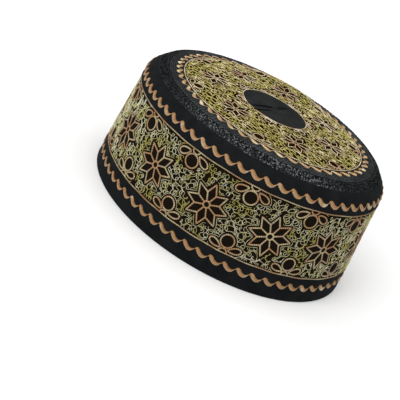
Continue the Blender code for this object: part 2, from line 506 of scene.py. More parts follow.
# DEEP is the braid's own black, and also the painted shade at the bottom of a crease.
DEEP = (0.0012, 0.0014, 0.0016, 1.0)
BLACKS = {      # dark and light tone, tone where it is embroidered, gloss
    "black_cloth": ((0.0055, 0.0064, 0.0070, 1.0), (0.0085, 0.0096, 0.0102, 1.0), WARM, 0.05),
    # The crown's black is painted lighter than the rest, for the sheen and light on its upward face.
    "black_crown_painted_light": ((0.0168, 0.0180, 0.0182, 1.0), (0.0232, 0.0248, 0.0252, 1.0), CROWN_WARM, 0.0),
    "black_tape": ((0.0150, 0.0175, 0.0175, 1.0), (0.0260, 0.0290, 0.0290, 1.0), WARM, 0.05),
    "black_stitch": ((0.0300, 0.0340, 0.0350, 1.0), (0.0850, 0.0950, 0.0980, 1.0), WARM, 0.1),
}
# Painted glints: lighter spots in the braid's colour, on its front left.
PAINTED_GLINT = (0.190, 0.200, 0.215, 1.0)
FRONT_LEFT = (-0.70, -0.71, 0.0)
GLINTS_FROM, GLINTS_TO, GLINTS_ELSEWHERE = 55 * MM, 72 * MM, 0.15
GLINTS = (1.3, 0.50, 0.60, 1.0)         # patches: size, from, to, detail
TONES = (9.0, 0.35, 0.65)
CREASE_SHADE_FROM, CREASE_SHADE_TO = 0.15, 0.65
CLOTH_ROUGH = 0.85
BRAID_ROUGH, BRAID_GLOSS = 0.4, 0.05
WEAVE_PITCH, WEAVE_BUMP = 0.55, (0.35, 0.06)
TWIST_PITCH, TWIST_SLANT, TWIST_BUMP = 0.7, 5.0, (0.6, 0.08)
PANEL_HEIGHTS = (18.0, 63.4)
FIELD_RADII = (24.5, 67.5)
FIELD_HEIGHTS = (79.6, 90.0)


def within(tree, value, limits):
    """1 where a value in metres lies between two limits in millimetres, 0 elsewhere."""
    low, high = limits
    sockets = {0: value, 1: (low + high) / 2 * MM, 2: (high - low) / 2 * MM}
    return add(tree, "Math", sockets, operation="COMPARE").outputs[0]


def embroidered(tree):
    """1 on the panel of the side and on the crown's ring of embroidery, 0 elsewhere."""
    place = place_on(tree)
    height = add(tree, "SeparateXYZ", {0: place}).outputs[2]
    flat = add(tree, "VectorMath", {0: place, 1: (1 / NARROWING, 1.0, 0.0)}, operation="MULTIPLY").outputs[0]
    radius = add(tree, "VectorMath", {0: flat}, operation="LENGTH").outputs["Value"]
    field = maths(tree, "MULTIPLY", within(tree, radius, FIELD_RADII), within(tree, height, FIELD_HEIGHTS))
    return maths(tree, "MAXIMUM", within(tree, height, PANEL_HEIGHTS), field)


def black_cloth(name, dark, light, warm, gloss):
    """Close black weave, painted warmer where it is embroidered, for the gold light thrown back by the
    thread, and with painted shade in the creases, where it is darkest. The weave is a wave along the cloth
    times a wave across it."""
    material = plain_material(name, dark, CLOTH_ROUGH, gloss)
    tree = material.node_tree
    tone = mixed(tree, patches_of(tree, *TONES), dark, light)
    # painted gold light in the gaps of the embroidery
    tone = mixed(tree, embroidered(tree), tone, warm)
    fold = add(tree, "Attribute", {}, attribute_name="fold").outputs["Fac"]
    # painted shade at the bottom of each crease
    tone = mixed(tree, ranged(tree, fold, CREASE_SHADE_FROM, CREASE_SHADE_TO), tone, DEEP)
    along, up = along_and_across(tree)
    weave = maths(tree, "MULTIPLY", ripple(tree, along, WEAVE_PITCH), ripple(tree, up, WEAVE_PITCH))
    return dressed(material, tone, weave, *WEAVE_BUMP)


def black_braid():
    """Black thread, twisted, with small painted glints here and there, nearly all on the front left."""
    material = plain_material("black_braid", DEEP, BRAID_ROUGH, BRAID_GLOSS)
    tree = material.node_tree
    sockets = {0: place_on(tree), 1: FRONT_LEFT}
    front = add(tree, "VectorMath", sockets, operation="DOT_PRODUCT").outputs["Value"]
    # the painted glints fade away from the front left
    glint_side = ranged(tree, front, GLINTS_FROM, GLINTS_TO, GLINTS_ELSEWHERE, 1.0)
    glint = maths(tree, "MULTIPLY", glint_side, patches_of(tree, *GLINTS))
    along, across = along_and_across(tree)
    twist = ripple(tree, along, TWIST_PITCH, maths(tree, "MULTIPLY", across, TWIST_SLANT))
    return dressed(material, mixed(tree, glint, DEEP, PAINTED_GLINT), twist, *TWIST_BUMP)


finishes.update({name: black_cloth(name, *row) for name, row in BLACKS.items()})
finishes["black_braid"] = black_braid()
print("blacks:", sorted(finishes))

# %% [markdown]
# Embroidery thread: three colours mixed in patches, and a ripple for its stitches, as a bump and as painted
# shade between them. In satin stitch the ridges lie across the line, and in a single running thread they are
# the twist of its own strands. Painted brown shade runs along the edges of every thread, and the satin has a
# painted highlight along one side.

# %% Embroidery threads
TAN = (0.43, 0.325, 0.205, 1.0)
PALE_TAN = (0.58, 0.47, 0.26, 1.0)
ORANGE = (0.48, 0.235, 0.090, 1.0)
DULL_ORANGE = (0.44, 0.255, 0.125, 1.0)
AMBER = (0.46, 0.255, 0.105, 1.0)
# DULL_TAN and PEACH come in random patches, and also as a painted highlight along one side of the satin.
DULL_TAN = (0.86, 0.72, 0.51, 1.0)
PEACH = (0.95, 0.79, 0.51, 1.0)
CREAM = (0.86, 0.82, 0.58, 1.0)
PALE_OLIVE = (0.63, 0.59, 0.29, 1.0)
OLIVE = (0.50, 0.41, 0.11, 1.0)
STRAW = (1.0, 0.88, 0.50, 1.0)
YELLOW_GREEN = (0.58, 0.52, 0.14, 1.0)
SALMON = (0.66, 0.43, 0.25, 1.0)
GOLD = (0.76, 0.42, 0.15, 1.0)
PINK_CREAM = (0.98, 0.83, 0.55, 1.0)
# The painted shade along the edges of each thread.
EDGE_SHADE_BROWN = (0.032, 0.016, 0.003, 1.0)
RARE = (0.52, 0.62)
SATIN, OUTLINE, STRAND = (0.7, 0.6, 0.10), (1.3, 0.0, 0.10), (0.9, 4.0, 0.05)
# groove and foot set painted shade between stitches and along the edges; lean sets a painted highlight.
THREADS = {     # three colours, size of a patch, where the noise turns to the second and to the third
                # colour, stitches (pitch, slant, depth), groove, foot, lean
    "orange_satin": (AMBER, ORANGE, DULL_TAN, 3.0, (0.42, 0.56), (0.60, 0.80), SATIN, 0.4, 0.85, 0.42),
    "pale_satin": (GOLD, AMBER, PEACH, 2.5, (0.42, 0.58), RARE, SATIN, 0.5, 1.0, 0.44),
    "gold_thread": (TAN, PALE_TAN, DULL_ORANGE, 5.0, (0.43, 0.58), (0.46, 0.57), OUTLINE, 0.45, 0.7, 0.0),
    "gold_pale": (PALE_TAN, PINK_CREAM, SALMON, 5.0, (0.40, 0.55), RARE, OUTLINE, 0.4, 0.5, 0.0),
    "olive_thread": (CREAM, PALE_OLIVE, YELLOW_GREEN, 4.0, (0.40, 0.58), RARE, STRAND, 0.85, 0.6, 0.0),
    "olive_dense": (OLIVE, STRAW, YELLOW_GREEN, 4.0, (0.44, 0.64), RARE, STRAND, 0.8, 1.0, 0.0),
}
SILK_ROUGH, SILK_GLOSS = 0.45, 0.12
SILK_STRENGTH = 0.8
RARE_SIZE = 2.7
LEAN_ENDS = 0.6
EDGE_SHADE_FROM, EDGE = 0.15, 0.5
TOP_FROM = 0.4
UNEVEN = (0.9, 0.3, 0.7)
UNEVEN_LEAST, UNEVEN_MORE = 0.75, 0.35


def thread_finish(name, first, second, third, patch, turn, rare, stitches, groove, foot, lean):
    """Silky thread. Its colours change in patches, the third only here and there. Between its stitches it has
    painted shade down to the brightness groove, and at its edges, where it dips into the cloth, it has
    painted brown shade by the share foot. The slant turns the stitches by how far across the thread they lie.
    The lean is how much more of the third colour, as a painted highlight, and how much less painted shade,
    there is on one side of the thread."""
    pitch, slant, depth = stitches
    material = plain_material(name, first, SILK_ROUGH, SILK_GLOSS)
    tree = material.node_tree
    along, across = along_and_across(tree)
    stitch = ripple(tree, along, pitch, maths(tree, "MULTIPLY", across, slant))
    tone = mixed(tree, patches_of(tree, patch, *turn), first, second)
    # painted highlight: more of the third colour on one side of the thread
    highlight_side = maths(tree, "MULTIPLY", maths(tree, "SUBTRACT", LEAN_ENDS, across), 2 * lean)
    here = patches_of(tree, patch * RARE_SIZE, *rare)
    more = maths(tree, "ADD", here, maths(tree, "MAXIMUM", highlight_side, 0.0))
    tone = mixed(tree, maths(tree, "MINIMUM", more, 1.0), tone, third)
    off = maths(tree, "ABSOLUTE", maths(tree, "SUBTRACT", across, EDGE))
    shade_kept = maths(tree, "MINIMUM", maths(tree, "ADD", across, 1.0 - 2 * lean), 1.0)
    # painted brown shade at the edges, less of it on the highlighted side
    edge_shade = maths(tree, "MULTIPLY", ranged(tree, off, EDGE_SHADE_FROM, EDGE, 0.0, foot), shade_kept)
    tone = mixed(tree, edge_shade, tone, EDGE_SHADE_BROWN)
    # painted shade between the stitches
    shade = ranged(tree, stitch, -1.0, TOP_FROM, groove, 1.0)
    uneven = maths(tree, "MULTIPLY", patches_of(tree, *UNEVEN), UNEVEN_MORE)
    uneven = maths(tree, "ADD", uneven, UNEVEN_LEAST)
    sockets = {0: tone, "Scale": maths(tree, "MULTIPLY", shade, uneven)}
    bright = add(tree, "VectorMath", sockets, operation="SCALE").outputs[0]
    return dressed(material, bright, stitch, SILK_STRENGTH, depth)


finishes.update({name: thread_finish(name, *row) for name, row in THREADS.items()})
print("threads:", sorted(THREADS))

# %% [markdown]
# ## The black cloth of the side
# On the real cap the side is one stiff strip, folded at the rim and sewn into a ring. A closed profile,
# turned round the oval, gives both faces and the rim in one piece. The alternative, a single sheet with a
# thickness added afterwards, would not let the rim have its own rounding.

# %% Side cloth
ROUND_STEPS = 288
RIM_ROUNDING = 0.9
RIM_STEPS = 5
SIDE_EVERY = 4


def turned(line):
    """A patch: a closed line of (half length, height), turned round the oval. Going up its outer side and
    back down its inner side makes its faces look outwards."""
    line = np.vstack([line, line[:1]])
    share = np.linspace(0.0, 1.0, ROUND_STEPS + 1)
    x, y = crown_ring(share[:, None], line[:, 0])
    places = np.stack([x, y, np.broadcast_to(line[:, 1], x.shape)], axis=-1)
    uv = np.meshgrid(share * GIRTH * RIM_HALF_LENGTH, run_along(line), indexing="ij")
    return places, grid_faces(x.shape), np.stack(uv, axis=-1)


def circle(centre, radius, start=0.0, end=360.0, steps=36):
    """Points of a circle or an arc, from one angle to another in degrees."""
    angle = np.radians(np.linspace(start, end, steps + 1))
    return np.asarray(centre) + radius * np.stack([np.cos(angle), np.sin(angle)], axis=1)


def side_cloth_line():
    """Up the outer face from the rim, over the hidden upper edge, and down the inner face to the rim, with
    a quarter circle at each edge of the rim. Every fourth place of the outer line will do."""
    outer = np.vstack([side_line[SIDE_EVERY:-2:SIDE_EVERY], side_line[-1:]])
    inner = outer[::-1] - (WALL, 0.0)
    rim = RIM_ROUNDING
    outer_turn = circle((RIM_HALF_LENGTH - rim, rim), rim, -90, 0, RIM_STEPS)
    inner_turn = circle((RIM_HALF_LENGTH - WALL + rim, rim), rim, 180, 270, RIM_STEPS)
    return np.vstack([outer_turn, outer, inner, inner_turn])


make_piece("side_cloth", [turned(side_cloth_line())], "black_cloth", ["side_panel"])

# %% [markdown]
# ## The top band
# The band above the panel is a second strip, laid over the panel's upper edge, so its lower edge stands a
# little proud. It turns over into the shoulder and sinks slightly where the braid is sewn on.

# %% Top band cloth
BAND_FOOT = 64.1
BAND_STEPS = 56
BAND_PROUD = 0.5
BAND_EASE = 2.4
FOOT_RISE, FOOT_BEND = 0.4, 0.1
BRAID_FROM = 0.66
BRAID_TO = 0.965
SEAT_DEPTH = 0.35
SEAT_EDGE = 0.3


def run_at_turn(t):
    """Length along the outer line at a share t of the shoulder's curve."""
    return np.interp(t, np.linspace(0.0, 1.0, SHOULDER_STEPS), outer_run[-SHOULDER_STEPS:])


BRAID_OUT, BRAID_IN = run_at_turn(BRAID_FROM), run_at_turn(BRAID_TO)


def band_cloth_line():
    """Up from the band's foot and over the shoulder to the seam, and back along the inner face. The outer
    face is the outer line moved out near the foot and in under the braid."""
    run = np.linspace(run_at_height(BAND_FOOT + FOOT_RISE), SEAM_RUN, BAND_STEPS)
    radius, height, out, up = outer_at(run)
    line = np.stack([radius, height], axis=1)
    normal = np.stack([up, -out], axis=1)
    proud = BAND_PROUD * np.clip(1 - (run - run[0]) / BAND_EASE, 0.0, 1.0)
    sunk = SEAT_DEPTH * np.clip((run - BRAID_OUT + SEAT_EDGE) / (2 * SEAT_EDGE), 0.0, 1.0)
    outer = line + normal * (proud - sunk)[:, None]
    inner = (line - normal * WALL)[::-3]
    edge = outer[0, 0]
    foot = [(edge - FOOT_RISE, BAND_FOOT), (edge - FOOT_BEND, BAND_FOOT + FOOT_BEND)]
    return np.vstack([foot, outer, inner, [(inner[-1, 0], BAND_FOOT)]])


make_piece("band_cloth", [turned(band_cloth_line())], "black_cloth", ["top_band"])

# %% [markdown]
# ## The crown cloth
# The crown is a height over its plan, so its upper face is a fan of rings and rays, with the rings closest
# together in the middle, where the fine creases are. The lower face is the same surface, one wall lower.
# Hardly any light gets into a crease, so the depth of the creases is kept with the mesh, and the
# material paints shade there.

# %% Crown cloth
CROWN_EDGE = 78.2
EDGE_TURN = 0.25
MIDDLE = 26.0
OUTER_RINGS, MIDDLE_RINGS, LOWER_RINGS = 36, 53, 14


def crown_cloth_patch():
    """A patch: in over the upper face from the edge to the middle, and out again over the lower face."""
    outer = np.linspace(CROWN_EDGE, MIDDLE, OUTER_RINGS)[:-1]
    upper = np.append(outer, np.linspace(MIDDLE, 0.0, MIDDLE_RINGS))
    radius = np.concatenate([upper, np.linspace(0.0, CROWN_EDGE, LOWER_RINGS), upper[:1]])
    drop = np.where(np.arange(len(radius)) < len(upper), 0.0, WALL)
    drop[0] = drop[-1] = EDGE_TURN
    share = np.linspace(0.0, 1.0, ROUND_STEPS + 1)
    x, y = crown_ring(share[:, None], radius)
    places = np.stack([x, y, crown_height(x, y) - drop], axis=-1)
    return places, grid_faces(x.shape), places[..., :2]


def mark_folds(mesh):
    """Each corner of the mesh remembers how deep it lies in a crease, for the material's painted shade."""
    place = np.empty(3 * len(mesh.vertices), np.float32)
    mesh.vertices.foreach_get("co", place)
    x, y, _ = place.reshape(-1, 3).T / MM
    fold = mesh.attributes.new("fold", "FLOAT", "POINT")
    fold.data.foreach_set("value", creases(x, y).astype(np.float32))


crown_cloth = make_piece("crown_cloth", [crown_cloth_patch()], "black_crown_painted_light", ["crown_top"])
mark_folds(crown_cloth.data)

# %% [markdown]
# ## The black braid
# A flat looped braid hides the seam between shoulder and crown. It is a narrow tape with two rows of small
# loops worked on it, each loop lying over the one before. The pen that draws a row goes round and round
# while it moves along, and dips a little where it passes under its own next loop. The loops differ in size
# by a slow wave and a quick one, so that no two neighbours are alike.

# %% Braid
LOOP_ROWS = (-0.42, 0.42)
LOOPS = 167
LOOP_STEPS = 12
LOOP_RADIUS = 1.35
LOOP_WIDTH = 0.58
LOOP_HEIGHT = 0.45
LOOP_UNEVEN = 0.22
LOOP_LIFT, LOOP_DIP, DIP_AT = 0.15, 0.25, 0.7
SLOW_WAVES, QUICK_WAVES = 29, 53
TAPE_STEPS = 8
TAPE_RISE = 0.22
TAPE_SUNK = 0.3
BRAID_MID = (BRAID_OUT + BRAID_IN) / 2
BRAID_HALF = (BRAID_IN - BRAID_OUT) / 2
BRAID_RADIUS = 82.0


def braid_tape():
    """The tape under the loops: a low pad, lifted in its middle and turned under at its edges."""
    share = np.linspace(0.0, 1.0, ROUND_STEPS + 1)[:, None]
    across = np.linspace(-1.0, 1.0, TAPE_STEPS + 1)
    lift = TAPE_RISE * (1 - np.abs(across) ** 4) - TAPE_SUNK
    places, _ = on_side(share, BRAID_MID + BRAID_HALF * across, lift)
    uv = np.stack(np.broadcast_arrays(share * GIRTH * BRAID_RADIUS, across * BRAID_HALF), axis=-1)
    return places, grid_faces(places.shape[:2]), uv


def braid_loops():
    """The rows of loops: a circle of changing radius, drawn while its middle walks round the cap. A sine
    lifts and dips it."""
    share = np.arange(LOOPS * LOOP_STEPS) / (LOOPS * LOOP_STEPS)
    row = np.arange(len(LOOP_ROWS))[:, None]
    phase = math.tau * (LOOPS * share + row / 2)
    uneven = np.sin(math.tau * QUICK_WAVES * share + 2 * row) + np.sin(math.tau * SLOW_WAVES * share + row)
    radius = LOOP_RADIUS * (1 + LOOP_UNEVEN * uneven)
    around = share + radius * np.sin(phase) / (GIRTH * BRAID_RADIUS)
    run = BRAID_MID + np.array(LOOP_ROWS)[:, None] * BRAID_HALF + radius * np.cos(phase)
    places, normals = on_side(around, run, LOOP_LIFT + LOOP_DIP * np.sin(phase + DIP_AT))
    return carry(places, normals, LOOP_WIDTH, LOOP_HEIGHT, LOW_ARCH, loop=True)


make_piece("braid_tape", [braid_tape()], "black_tape", ["edge_braid"])
make_piece("braid_loops", [braid_loops()], "black_braid")

# %% [markdown]
# ## Stars
# Each star of the side has eight points. Its outline runs from tip to notch and on to the next tip, eight
# spokes join the notches to a small ring in the middle, and between them the black cloth shows as petals.
# A star is drawn once, flat, in millimetres, and then laid on the cloth wherever one is needed.

# %% Drawing a star
POINTS = 8
EDGE_STEPS = 8
STAR = {"tip": 13.8, "notch": 7.9, "ring": 2.1}


def between(corners):
    """Points on the straight lines between corners, each line cut into the same number of steps."""
    t = np.arange(EDGE_STEPS)[:, None] / EDGE_STEPS
    lines = corners[:-1, None] + (corners[1:, None] - corners[:-1, None]) * t
    return np.vstack([lines.reshape(-1, 2), corners[-1:]])


def star_lines(size):
    """The outline and the spokes of a star, as points round its middle. The spokes start at the ring."""
    count = np.arange(2 * POINTS + 1)
    turn = count * math.pi / POINTS
    reach = np.where(count % 2, size["notch"], size["tip"])
    corners = reach[:, None] * np.stack([np.sin(turn), np.cos(turn)], axis=1)
    ring = size["ring"] / size["notch"]
    return [between(corners)] + [between(np.array([corner * ring, corner])) for corner in corners[1::2]]


def star_gap(a, h, size):
    """Distance from the star's outline, positive outside it. The star is folded onto one half of one of
    its points, where the outline is a straight line from tip to notch."""
    fold = math.pi / POINTS
    tip, notch = size["tip"], size["notch"]
    angle = np.abs(np.mod(np.arctan2(a, h) + fold, 2 * fold) - fold)
    reach = np.hypot(a, h)
    x, y = reach * np.cos(angle), reach * np.sin(angle)
    run = np.array([notch * math.cos(fold) - tip, notch * math.sin(fold)])
    t = np.clip(((x - tip) * run[0] + y * run[1]) / np.hypot(*run) ** 2, 0.0, 1.0)
    distance = np.hypot(x - tip - t * run[0], y - t * run[1])
    return np.where((x - tip) * run[1] - y * run[0] > 0, distance, -distance)


print("one star has", len(star_lines(STAR)), "lines and a ring")

# %% [markdown]
# ## Half flowers
# A half flower grows from a line: a small half circle on it, a big round petal over that, and a drop-shaped
# petal on each side. The upper and lower rows of the side differ a little, so each has its own row of sizes.
# Like the star, a half flower is drawn flat, with the line at zero and its big petal pointing up.

# %% Drawing a half flower
FLOWERS = {                 # sizes in mm, tilt of the side petals in degrees
    "upper": {"heart": 2.6, "disc_at": 7.5, "disc": 4.35,
              "out": 7.0, "up": 4.4, "half": 4.1, "wide": 2.3, "tilt": 28.0},
    "lower": {"heart": 2.6, "disc_at": 7.7, "disc": 4.25,
              "out": 6.5, "up": 3.7, "half": 4.2, "wide": 2.1, "tilt": 18.0},
}
PETAL_STEPS = 40
PETAL_FULL = 1.12
PETAL_POINT = 0.7
HAIR = 1e-6


def petal(size, side):
    """A drop: an ellipse whose width also falls to nothing towards its inner end, turned by its tilt."""
    turn = np.radians(np.linspace(0.0, 360.0, PETAL_STEPS + 1))
    x = -size["half"] * np.cos(turn)
    y = size["wide"] * PETAL_FULL * np.sin(turn) * np.sin(turn / 2) ** PETAL_POINT
    tilt = math.radians(size["tilt"])
    a = size["out"] + x * math.cos(tilt) - y * math.sin(tilt)
    h = size["up"] + x * math.sin(tilt) + y * math.cos(tilt)
    return np.stack([side * a, h], axis=1)


def flower_lines(size):
    """The four outlines of a half flower."""
    heart = circle((0.0, 0.0), size["heart"], 0.0, 180.0, steps=12)
    disc = circle((0.0, size["disc_at"]), size["disc"], -90.0, 270.0)
    return [heart, disc, petal(size, 1), petal(size, -1)]


def flower_gap(a, h, size):
    """Distance from a half flower, positive outside it: the least of the distances from its heart, its big
    petal and its side petals, taken as ellipses."""
    heart = np.hypot(a, h) - size["heart"]
    disc = np.hypot(a, h - size["disc_at"]) - size["disc"]
    tilt = math.radians(size["tilt"])
    x, y = np.abs(a) - size["out"], h - size["up"]
    along = x * math.cos(tilt) + y * math.sin(tilt)
    across = y * math.cos(tilt) - x * math.sin(tilt)
    reach = np.maximum(np.hypot(along, across), HAIR)
    share = np.maximum(np.hypot(along / size["half"], across / size["wide"]), HAIR)
    return np.minimum(np.minimum(heart, disc), reach * (1 - 1 / share))


def scaled(size, scale):
    """The same flower at another scale. Its tilt stays."""
    return {name: value if name == "tilt" else value * scale for name, value in size.items()}


print("half flowers reach", [size["disc_at"] + size["disc"] for size in FLOWERS.values()], "mm")

# %% [markdown]
# ## Echo lines
# Round each motif the cloth is left bare for a millimetre, and then a pale thread repeats its outline. That
# line is where the distance from the motif has one value. It is found along rays from a point inside the
# motif by halving: each ray keeps the half in which the distance passes that value. A motif is then its
# lines, its distance and its echo line together.

# %% Echo lines
RAYS = 96
HALVINGS = 24


def echo_line(gap, middle, reach, distance):
    """The line at that distance outside a motif, as points on rays of that reach from its middle."""
    angle = np.linspace(0.0, math.tau, RAYS + 1)
    near, far = np.zeros(len(angle)), np.full(len(angle), reach)
    for _ in range(HALVINGS):
        half = (near + far) / 2
        closer = gap(half * np.sin(angle), middle + half * np.cos(angle)) < distance
        near, far = np.where(closer, half, near), np.where(closer, far, half)
    return np.stack([near * np.sin(angle), middle + near * np.cos(angle)], axis=1)


def motif(lines_of, gap_of, size, middle, reach, distance):
    """The lines, the distance and the echo line of a star or half flower of that size."""
    gap = functools.partial(gap_of, size=size)
    return lines_of(size), gap, echo_line(gap, middle, reach, distance)


print("an echo line has", RAYS, "points")

# %% [markdown]
# ## Laying out the side
# Fourteen stars stand round the side, and a half flower grows from each gold line between every two of
# them. Hand-guided embroidery is never quite even: the five stars that the picture shows keep their own
# places, and the others share out the rest of the girth.

# %% Places on the side
SEEN_STARS = (-102.6, -77.4, -50.9, -23.4, 2.9)
STARS = 14
LOWER_LINE = run_at_height(17.8)
UPPER_LINE = run_at_height(63.6)
STAR_RUN = run_at_height(39.0)
ECHO = 1.7
SIDE_REACH = 24.0
FLOWER_MIDDLE = 3.5
FAR_AWAY = 1e3

seen = np.unwrap(share_at(np.array(SEEN_STARS)), period=1.0)
others = np.linspace(seen[-1], seen[0] + 1.0, STARS - len(seen) + 2)[1:-1]
star_shares = np.append(seen, others)
flower_shares = (star_shares + np.append(star_shares[1:], star_shares[0] + 1.0)) / 2
side_motifs = [             # a motif and where it is laid: shares of the girth, run, and up or down
    (motif(star_lines, star_gap, STAR, 0.0, SIDE_REACH, ECHO), (star_shares, STAR_RUN, 1.0)),
    (motif(flower_lines, flower_gap, FLOWERS["upper"], FLOWER_MIDDLE, SIDE_REACH, ECHO),
     (flower_shares, UPPER_LINE, -1.0)),
    (motif(flower_lines, flower_gap, FLOWERS["lower"], FLOWER_MIDDLE, SIDE_REACH, ECHO),
     (flower_shares, LOWER_LINE, 1.0)),
]


def lay_on_side(line, shares, run, up):
    """Shares and runs of a flat line's points, one row for each copy, with its zero at that run."""
    share = shares[:, None] + line[:, 0] / (GIRTH * outer_at(run)[0])
    return share, np.broadcast_to(run + up * line[:, 1], share.shape)


def side_gap(share, run):
    """Distance from the nearest motif of the side."""
    radius = outer_at(run)[0]
    nearest = np.full(share.shape, FAR_AWAY)
    for (_, gap, _), (places, foot, up) in side_motifs:
        for place in places:
            a = (np.mod(share - place + 0.5, 1.0) - 0.5) * GIRTH * radius
            nearest = np.minimum(nearest, gap(a, up * (run - foot)))
    return nearest


print("stars at", np.round(np.degrees(angle_at(star_shares))).astype(int), "degrees")

# %% [markdown]
# ## Outlines of the side
# The motifs are outlined in satin stitch about a millimetre wide, in tan that turns to orange in patches.
# Two lines of the same thread, one above and one below, close the panel.

# %% Outlines of the side
OUTLINE_WIDTH = 1.08
RING_WIDTH = 1.25
OUTLINE_HEIGHT = 0.55
LINE_WIDTH = 0.85
LOWER_RISE, UPPER_RISE = 0.5, 0.75
LOWER_SWINGS, UPPER_SWINGS = 31, 27
LINE_STEPS = 720
LINE_SWING = 0.12


def outlines(lines, where, lay, on_cloth, width, height):
    """Patches of satin outlines: flat lines, laid out where they belong on the cloth, and carried."""
    return [carry(*on_cloth(*lay(line, *where)), width, height) for line in lines]


def gold_line(run, height, swings):
    """A line once round the side at a run. A low sine swings it a little sideways, as a hand would."""
    share = np.arange(LINE_STEPS)[None] / LINE_STEPS
    places, normals = on_side(share, run + LINE_SWING * np.sin(math.tau * swings * share))
    return carry(places, normals, LINE_WIDTH, height, loop=True)


ring = [circle((0.0, 0.0), STAR["ring"], steps=24)]
side_stars = outlines(ring, side_motifs[0][1], lay_on_side, on_side, RING_WIDTH, OUTLINE_HEIGHT)
for (lines, _, _), where in side_motifs:
    side_stars += outlines(lines, where, lay_on_side, on_side, OUTLINE_WIDTH, OUTLINE_HEIGHT)
gold_lines = [gold_line(LOWER_LINE, LOWER_RISE, LOWER_SWINGS),
              gold_line(UPPER_LINE, UPPER_RISE, UPPER_SWINGS)]
make_piece("side_outlines", side_stars, "gold_thread")
make_piece("side_lines", gold_lines, "gold_thread")

# %% [markdown]
# ## Wandering thread
# The ground between the motifs is filled with one thin thread that wanders in small loops. The pen that
# draws it makes one arc after another, all equally long, and each turns left or right through its own
# angle, so that tight curls and lazy bends follow each other. Its drift is taken off again, so that it stays
# near its row, and a steady walk along the row is added.

# %% Wandering thread
PEN_STEP = 0.5
ARC = 9.0
ARC_TURN = (200.0, 430.0)
WANDER_LONG = 32.0
WANDER_WIDTH = 0.33
WANDER_HEIGHT = 0.42
ECHO_SHARE = 0.75
PATCH_WAVES = np.arange(2, 8)[:, None]
random = np.random.default_rng(14)


def wander_rows(rows, girth, thread_share, arc_length, lift, tall=1.0):
    """Closed rows of looping thread: how far along the row, and how far off it, each point lies, and how
    far each row is lifted off the cloth, up to lift. There are thread_share mm of thread for each mm of
    row. Waves longer than WANDER_LONG are the drift. The loops are drawn narrower along the row and taller
    across it by the number tall."""
    length = girth * thread_share
    points, arcs = int(length / PEN_STEP), int(length / arc_length)
    turns = np.radians(random.uniform(*ARC_TURN, size=(rows, arcs)))
    turns *= random.choice((-1.0, 1.0), size=(rows, arcs))
    position = np.arange(points) * arcs / points
    arc = position.astype(int)
    heading = np.cumsum(turns, axis=1)[:, arc] - turns[:, arc] * (arc + 1 - position)
    moves = np.stack([np.cos(heading), np.sin(heading)]) * (length / points)
    path = np.cumsum(moves - moves.mean(axis=2, keepdims=True), axis=2)
    spectrum = np.fft.rfft(path, axis=2)
    waves = np.fft.rfftfreq(points, 1.0 / points)
    spectrum[:, :, waves < length / WANDER_LONG] = 0.0
    path = np.fft.irfft(spectrum, points, axis=2)
    walk = np.arange(points) * girth / points
    return walk + path[0] / tall, path[1] * tall, random.uniform(0.0, lift, size=(rows, 1))


def patchy(rows, points, share):
    """A mask along each row that keeps that share of it, in stretches: where a sum of a few waves with
    random strengths is high."""
    turn = np.arange(points) * math.tau / points
    strength = random.normal(size=(2, rows, len(PATCH_WAVES)))
    noise = strength[0] @ np.cos(PATCH_WAVES * turn) + strength[1] @ np.sin(PATCH_WAVES * turn)
    return noise > np.quantile(noise, 1 - share, axis=1, keepdims=True)


def thread(places, normals, keep, width=WANDER_WIDTH):
    """A patch of thin thread along paths, where keep says so."""
    return carry(places, normals, width, WANDER_HEIGHT, LOW_ARCH, keep=keep)


def echo_threads(motifs, lay, on_cloth, free, margin, clear):
    """Patches of the echo lines, in stretches, and only where thread may lie."""
    patches = []
    for (_, _, echo), where, *_ in motifs:
        spot = lay(echo, *where)
        keep = free(*spot, margin, clear) & patchy(*spot[0].shape, ECHO_SHARE)
        patches.append(thread(*on_cloth(*spot), keep))
    return patches


print("an arc of the pen turns by", ARC_TURN, "degrees in", ARC, "mm")

# %% [markdown]
# The rows of the side are laid nearly three millimetres apart, which their loops bridge. Thread is left
# out wherever it would come near a motif or a line. The echo lines are laid in the same thread.

# %% Ground of the side
CLEAR = 1.9
LINE_ROOM = 0.9
ECHO_ROOM = 0.5
ECHO_NEAR = 0.2
FIRST_ROW, LAST_ROW = LOWER_LINE + 1.6, UPPER_LINE - 1.0
SIDE_ROW = 2.9
SIDE_THREAD = 3.1
SIDE_LIFT = 0.08


def free_on_side(share, run, margin, clear):
    """Where thread may lie: in the panel, by that margin from its lines, and clear of every motif."""
    in_panel = (run > LOWER_LINE + margin) & (run < UPPER_LINE - margin)
    return in_panel & (side_gap(share, run) > clear)


def side_ground():
    """Patch of the wandering thread of the side."""
    runs = np.arange(FIRST_ROW, LAST_ROW, SIDE_ROW)
    girth = GIRTH * outer_at(STAR_RUN)[0]
    along, off, lift = wander_rows(len(runs), girth, SIDE_THREAD, ARC, SIDE_LIFT)
    share, run = along / girth, runs[:, None] + off
    return thread(*on_side(share, run, lift), free_on_side(share, run, LINE_ROOM, CLEAR))


side_threads = [side_ground()]
side_threads += echo_threads(side_motifs, lay_on_side, on_side, free_on_side, ECHO_ROOM, ECHO - ECHO_NEAR)
make_piece("side_fill", side_threads, "olive_thread")

# %% [markdown]
# ## Satin waves
# A row of waves runs below the panel, another above it on the shoulder, and a third round the crown's
# embroidery. One wave is a fat stroke of satin stitch: it starts as a thin neck, swells to a rounded peak,
# falls to a broad belly and thins to the next neck. A short table of places and half widths draws it, and
# a curve through the table's rows makes it smooth.

